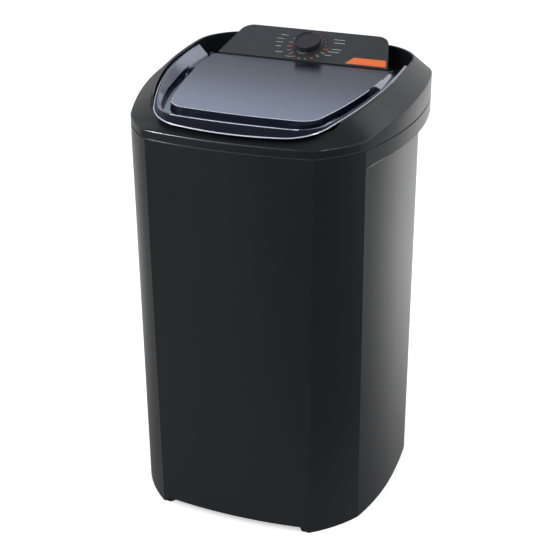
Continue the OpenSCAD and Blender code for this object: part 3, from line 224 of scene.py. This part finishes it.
def moulded_plastic(name, colour, rough, grain=900, relief=0.02, gloss=0.5, tint=(1, 1, 1)):
    made, shader, place = new_finish(name)
    cloud = place.node("TexNoise", {}, {"Vector": place, "Scale": 5.5, "Detail": 3.0, "Roughness": 0.55})
    speck = place.node("TexNoise", {}, {"Vector": place, "Scale": grain, "Detail": 1.0})
    mottled(cloud, colour, 0.9, 1.1).to(shader, "Base Color")
    (rough - 0.03 + cloud * 0.05 + speck * 0.02).to(shader, "Roughness")
    bump = place.node("Bump", {}, {"Strength": relief, "Distance": 0.0004, "Height": speck})
    bump.to(shader, "Normal")
    shader.inputs["Specular IOR Level"].default_value = gloss
    shader.inputs["Specular Tint"].default_value = tint + (1,)
    return made


def paint(node, finish):
    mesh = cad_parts[node].data
    mesh.materials.clear()
    mesh.materials.append(finish)


def place_piece(name, form, finish, body, stands_for=()):
    mesh = bpy.data.meshes.new(name)
    form.to_mesh(mesh)
    form.free()
    mesh.materials.append(finish)
    piece = bpy.data.objects.new(name, mesh)
    bpy.context.scene.collection.objects.link(piece)
    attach(piece, body)
    if stands_for:
        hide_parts(*stands_for)
    return piece


# A node's mesh is loose triangles, so a copy of it is welded, and its flat parts are joined into faces.
weld_gap = 0.00002
flat_bend = math.radians(0.4)
facet_bend = math.radians(14)
facet_skew = math.radians(70)


def welded(node):
    form = bmesh.new()
    form.from_mesh(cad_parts[node].data)
    bmesh.ops.remove_doubles(form, verts=form.verts, dist=weld_gap)
    bmesh.ops.dissolve_limit(form, angle_limit=flat_bend, verts=form.verts, edges=form.edges)
    bmesh.ops.join_triangles(form, faces=form.faces, angle_face_threshold=facet_bend,
                             angle_shape_threshold=facet_skew)
    return form


# A shell is a moulding's own surface with smooth shading, which breaks where it bends by more than its
# crease angle. Its edges there can be rounded, or softened by a function of its own.
def shell(node, finish, body, crease=30, rounding=0.0, soften=None):
    form = welded(node)
    if soften:
        soften(form)
    for face in form.faces:
        face.smooth = True
    for edge in form.edges:
        edge.smooth = edge.is_manifold and edge.calc_face_angle(0) < math.radians(crease)
    piece = place_piece(node + "_shell", form, finish, body, (node,))
    if rounding:
        edges = piece.modifiers.new("rounding", "BEVEL")
        edges.width = rounding
        edges.segments = 3
        edges.limit_method = "ANGLE"
        edges.angle_limit = math.radians(crease)
    normals = piece.modifiers.new("normals", "WEIGHTED_NORMAL")
    normals.keep_sharp = True
    return piece


cabinet_black = moulded_plastic("cabinet_black", (0.0115, 0.0125, 0.0150), 0.30)
shell("cabinet", cabinet_black, "machine", crease=10)


# The base cover closes the cabinet's foot. It is screwed on from below and has two rows of air slots.
# The four feet are moulded pads at the corners, inside the cabinet's skirt, with a coarser grain.
paint("base_cover", cabinet_black)
foot_black = moulded_plastic("foot_black", (0.011, 0.011, 0.012), 0.55, grain=600, relief=0.08, gloss=0.3)
shell("feet", foot_black, "machine", rounding=0.0012)


# Screws, bolts, nuts, shafts, clips and the motor's bracket are zinc-plated steel, drawn or pressed.
# The plating is pale, with fine lines in it.
def drawn_metal(name, colour, rough):
    made, shader, place = new_finish(name)
    pulled = place.node("Mapping", {}, {"Vector": place, "Scale": (60, 60, 900)})
    grain = place.node("TexNoise", {}, {"Vector": pulled, "Scale": 6.0, "Detail": 2.0})
    mottled(grain, colour, 0.85, 1.12).to(shader, "Base Color")
    (rough - 0.05 + grain * 0.12).to(shader, "Roughness")
    bump = place.node("Bump", {}, {"Strength": 0.04, "Distance": 0.0002, "Height": grain})
    bump.to(shader, "Normal")
    shader.inputs["Metallic"].default_value = 1.0
    return made


zinc_steel = drawn_metal("zinc_steel", (0.56, 0.57, 0.56), 0.34)
for steel_part in ("base_screws", "frame_screws", "hinge_bracket_screws", "housing_screws",
                   "timer_shaft", "agitator_screw", "drive_shaft", "bearing_bolts", "pulley_nut",
                   "motor_shaft", "motor_bracket", "motor_screws", "capacitor_clip", "hose_clamps"):
    paint(steel_part, zinc_steel)


# The wash tub is a dark grey polypropylene bowl that hangs by its flange between cabinet and top frame.
# Only the flange's edge shows while the lid is closed, as a thin line at the seam.
tub_grey = moulded_plastic("tub_grey", (0.105, 0.112, 0.120), 0.32, grain=500, gloss=0.45)
shell("wash_tub", tub_grey, "machine", crease=32)


# The top frame is a second black moulding, with a sloped rim round the lid and a deck behind it that
# carries the controls. Screws through the tub's flange hold it on the cabinet.
frame_black = moulded_plastic("frame_black", (0.0105, 0.0115, 0.0145), 0.30, relief=0.015)
shell("top_frame", frame_black, "machine", crease=48)


# The lid is moulded in smoked blue-black plastic with a polished surface. Its raised centre, channel,
# ridge and lip have small chamfers that catch the light; those of lip and centre are painted pale, a
# painted highlight that stands for the bright lines the light draws along these edges.
lid_smoke = moulded_plastic("lid_smoke", (0.005, 0.007, 0.016), 0.17, grain=300, relief=0.0, gloss=1.0,
                            tint=(0.58, 0.71, 1.0))
lip_chamfer = 0.0020
fine_chamfer = 0.0010
sharp_bend = math.radians(20)
chamfers_end = 0.10
wing_inside = 0.212
lip_face_width = 0.0036
centre_area = 0.02
facing_up = 0.9


def round_off(form, width, wanted):
    edges = [edge for edge in form.edges if edge.is_manifold and wanted(edge)]
    made = bmesh.ops.bevel(form, geom=edges, offset=width, offset_type="OFFSET", affect="EDGES",
                           segments=1, profile=0.5, material=-1, clamp_overlap=False)
    return made["faces"]


def soften_lid(form):
    def convex(edge):
        middle = (edge.verts[0].co + edge.verts[1].co) / 2
        between_wings = abs(middle.x) < wing_inside and middle.y > 0.0
        return edge.calc_face_angle_signed(0) > sharp_bend and middle.y < chamfers_end and not between_wings

    def lip(edge):
        smallest = min(face.calc_area() for face in edge.link_faces)
        return convex(edge) and smallest < lip_face_width * edge.calc_length()

    def centre(edge):
        largest = max(edge.link_faces, key=lambda face: face.calc_area())
        return convex(edge) and largest.calc_area() > centre_area and largest.normal.z > facing_up

    def ridge(edge):
        return convex(edge) and not any(face.material_index for face in edge.link_faces)

    # The lip's and the centre's chamfers take the second slot, a pale colour that is a painted highlight.
    for width, highlight_edge in ((lip_chamfer, lip), (fine_chamfer, centre)):
        for face in round_off(form, width, highlight_edge):
            face.material_index = 1
    round_off(form, fine_chamfer, ridge)


lid_shell = shell("lid", lid_smoke, "lid", crease=19, soften=soften_lid)
# Its pale colour is a painted highlight on the chamfers of the lip and the raised centre.
lid_edge_highlight = moulded_plastic("lid_edge_highlight", (0.56, 0.60, 0.68), 0.22, grain=300, relief=0.0, gloss=0.8)
lid_shell.data.materials.append(lid_edge_highlight)


# The lid turns on two pins of blackened steel in moulded black brackets, which are screwed to the frame.
# Its buffers are rubber, and so are the shaft's seal, the motor's mounts, the belt, the wiring's sleeve
# and the cable gland.
paint("hinge_brackets", frame_black)
black_steel = moulded_plastic("black_steel", (0.020, 0.020, 0.022), 0.45, grain=1500)
paint("lid_hinge_pins", black_steel)
black_rubber = moulded_plastic("black_rubber", (0.012, 0.012, 0.012), 0.75, grain=1500, relief=0.15,
                               gloss=0.3)
for rubber_part in ("lid_buffers", "shaft_seal", "motor_mounts", "drive_belt", "wiring_loom", "cable_gland"):
    paint(rubber_part, black_rubber)


# The control panel is a flat slate-grey plate with a matte film on it, and rounded rear corners.
# It sits on a sloped black housing that is screwed to the deck.
panel_slate = moulded_plastic("panel_slate", (0.028, 0.034, 0.037), 0.5, grain=1200, gloss=0.35)
shell("panel_housing", frame_black, "machine", rounding=0.0006)
shell("control_panel", panel_slate, "machine", rounding=0.0008)


# The dial's marks and the tag are printed on the film in one orange ink. Plain numbers stand on a ring
# outside the marks, 18 degrees apart, most of them in a pale ink.
orange_ink = moulded_plastic("orange_ink", (0.80, 0.150, 0.028), 0.5, grain=1500, relief=0.01, gloss=0.25)
paint("dial_marks", orange_ink)
paint("panel_tag", orange_ink)
pale_ink = moulded_plastic("pale_ink", (0.36, 0.38, 0.38), 0.5, grain=1500, relief=0.01, gloss=0.3)
panel_slope = math.radians(23.7)
front_edge = Vector((0, 0.1342, 0.913))
panel_place = Matrix.Translation(front_edge) @ Matrix.Rotation(panel_slope, 4, "X")
dial_centre = Vector((0, 0.050, 0))
ink_height = 0.00015
number_ring = 0.0445
number_size = 0.0062
number_count = 16
number_spacing = 18
first_number = 369


def number_on_dial(text, angle, finish, name):
    glyph = bpy.data.curves.new(name, "FONT")
    glyph.body = text
    glyph.size = number_size
    glyph.align_x = "CENTER"
    glyph.align_y = "CENTER"
    glyph.extrude = ink_height
    glyph.resolution_u = 4
    stencil = bpy.data.objects.new(name + "_stencil", glyph)
    form = bmesh.new()
    form.from_mesh(bpy.data.meshes.new_from_object(stencil))
    bpy.data.objects.remove(stencil)
    spot = dial_centre + Vector((number_ring * math.sin(angle), number_ring * math.cos(angle), ink_height))
    bmesh.ops.transform(form, matrix=panel_place @ Matrix.Translation(spot), verts=form.verts)
    bmesh.ops.recalc_face_normals(form, faces=form.faces)
    place_piece(name, form, finish, "machine")


for step in range(number_count):
    turn = math.radians(first_number - number_spacing * step)
    ink = pale_ink if step % 3 else orange_ink
    number_on_dial(str(2 * step + 2), turn, ink, "dial_number_%02d" % step)


# Each programme is marked beside the dial by a short thin bar in the pale ink. A bar's place and length
# are in millimetres on the panel, to the right of its middle and up from its front edge.
bar_width = 0.0016
bars = bmesh.new()
for right, up, length in ((-64, 79, 17), (-69, 66, 16), (-68, 54, 16), (-66, 40, 13), (-58, 21, 17),
                          (-32, 9, 14), (62, 79, 24), (65, 68, 25), (66, 46, 21), (62, 37, 24),
                          (52, 25, 15)):
    bar = bmesh.ops.create_cube(bars, size=1.0)["verts"]
    bmesh.ops.scale(bars, vec=(length / 1000, bar_width, 2 * ink_height), verts=bar)
    bmesh.ops.translate(bars, vec=(right / 1000, up / 1000, ink_height), verts=bar)
bmesh.ops.transform(bars, matrix=panel_place, verts=bars.verts)
place_piece("programme_bars", bars, pale_ink, "machine")


# The timer's case sits under the panel, and its shaft carries the knob, a faceted black moulding with
# a raised rim. The case is off-white plastic, as are the motor's fan, the capacitor, the lint filter
# and the drain's grille.
white_plastic = moulded_plastic("white_plastic", (0.62, 0.64, 0.65), 0.38, grain=700, gloss=0.45)
for pale_part in ("timer_case", "motor_fan", "capacitor", "lint_filter", "drain_grille"):
    paint(pale_part, white_plastic)
knob_black = moulded_plastic("knob_black", (0.024, 0.025, 0.032), 0.40, relief=0.03, gloss=0.4)
shell("timer_knob", knob_black, "timer", crease=20, rounding=0.0006)


# The agitator is a pale moulded disc with four vanes at the bottom of the tub. A screw holds it on its
# shaft, under a dark cap.
agitator_white = moulded_plastic("agitator_white", (0.55, 0.58, 0.61), 0.30, grain=500)
shell("agitator", agitator_white, "agitator_drive", rounding=0.0015)
cap_plastic = moulded_plastic("cap_plastic", (0.045, 0.056, 0.082), 0.30, grain=500)
paint("agitator_cap", cap_plastic)


# The bearing housing and both pulleys are die-cast alloy with a grainy skin. The housing is bolted under
# the tub and holds two bushes of sintered bronze, whose pores are finer.
def cast_metal(name, colour, rough, grain=420, relief=0.25):
    made, shader, place = new_finish(name)
    skin = place.node("TexNoise", {}, {"Vector": place, "Scale": grain, "Detail": 3.0})
    cloud = place.node("TexNoise", {}, {"Vector": place, "Scale": 22.0, "Detail": 2.0})
    mottled(cloud, colour, 0.8, 1.15).to(shader, "Base Color")
    (rough - 0.08 + skin * 0.16).to(shader, "Roughness")
    bump = place.node("Bump", {}, {"Strength": relief, "Distance": 0.0004, "Height": skin})
    bump.to(shader, "Normal")
    shader.inputs["Metallic"].default_value = 1.0
    return made


cast_alloy = cast_metal("cast_alloy", (0.42, 0.43, 0.44), 0.52)
for casting in ("bearing_housing", "drive_pulley", "motor_pulley"):
    paint(casting, cast_alloy)
bearing_bronze = cast_metal("bearing_bronze", (0.46, 0.30, 0.13), 0.42, grain=1200, relief=0.08)
for bush in ("upper_bush", "lower_bush"):
    paint(bush, bearing_bronze)


# The motor's case is sheet steel with cooling ribs, enamelled dark grey. Its bracket holds it under the
# tub, behind the bearing housing.
motor_enamel = moulded_plastic("motor_enamel", (0.075, 0.080, 0.085), 0.34, grain=350, relief=0.08)
paint("motor", motor_enamel)


# The drain's elbow, outlet and nut are moulded in dark plastic, and the hose between them is dark vinyl,
# held by clamps. The outlet passes through the back of the cabinet.
dark_plastic = moulded_plastic("dark_plastic", (0.040, 0.044, 0.048), 0.5, grain=800, relief=0.04, gloss=0.4)
for drain_part in ("drain_elbow", "drain_hose", "drain_outlet", "outlet_nut"):
    paint(drain_part, dark_plastic)
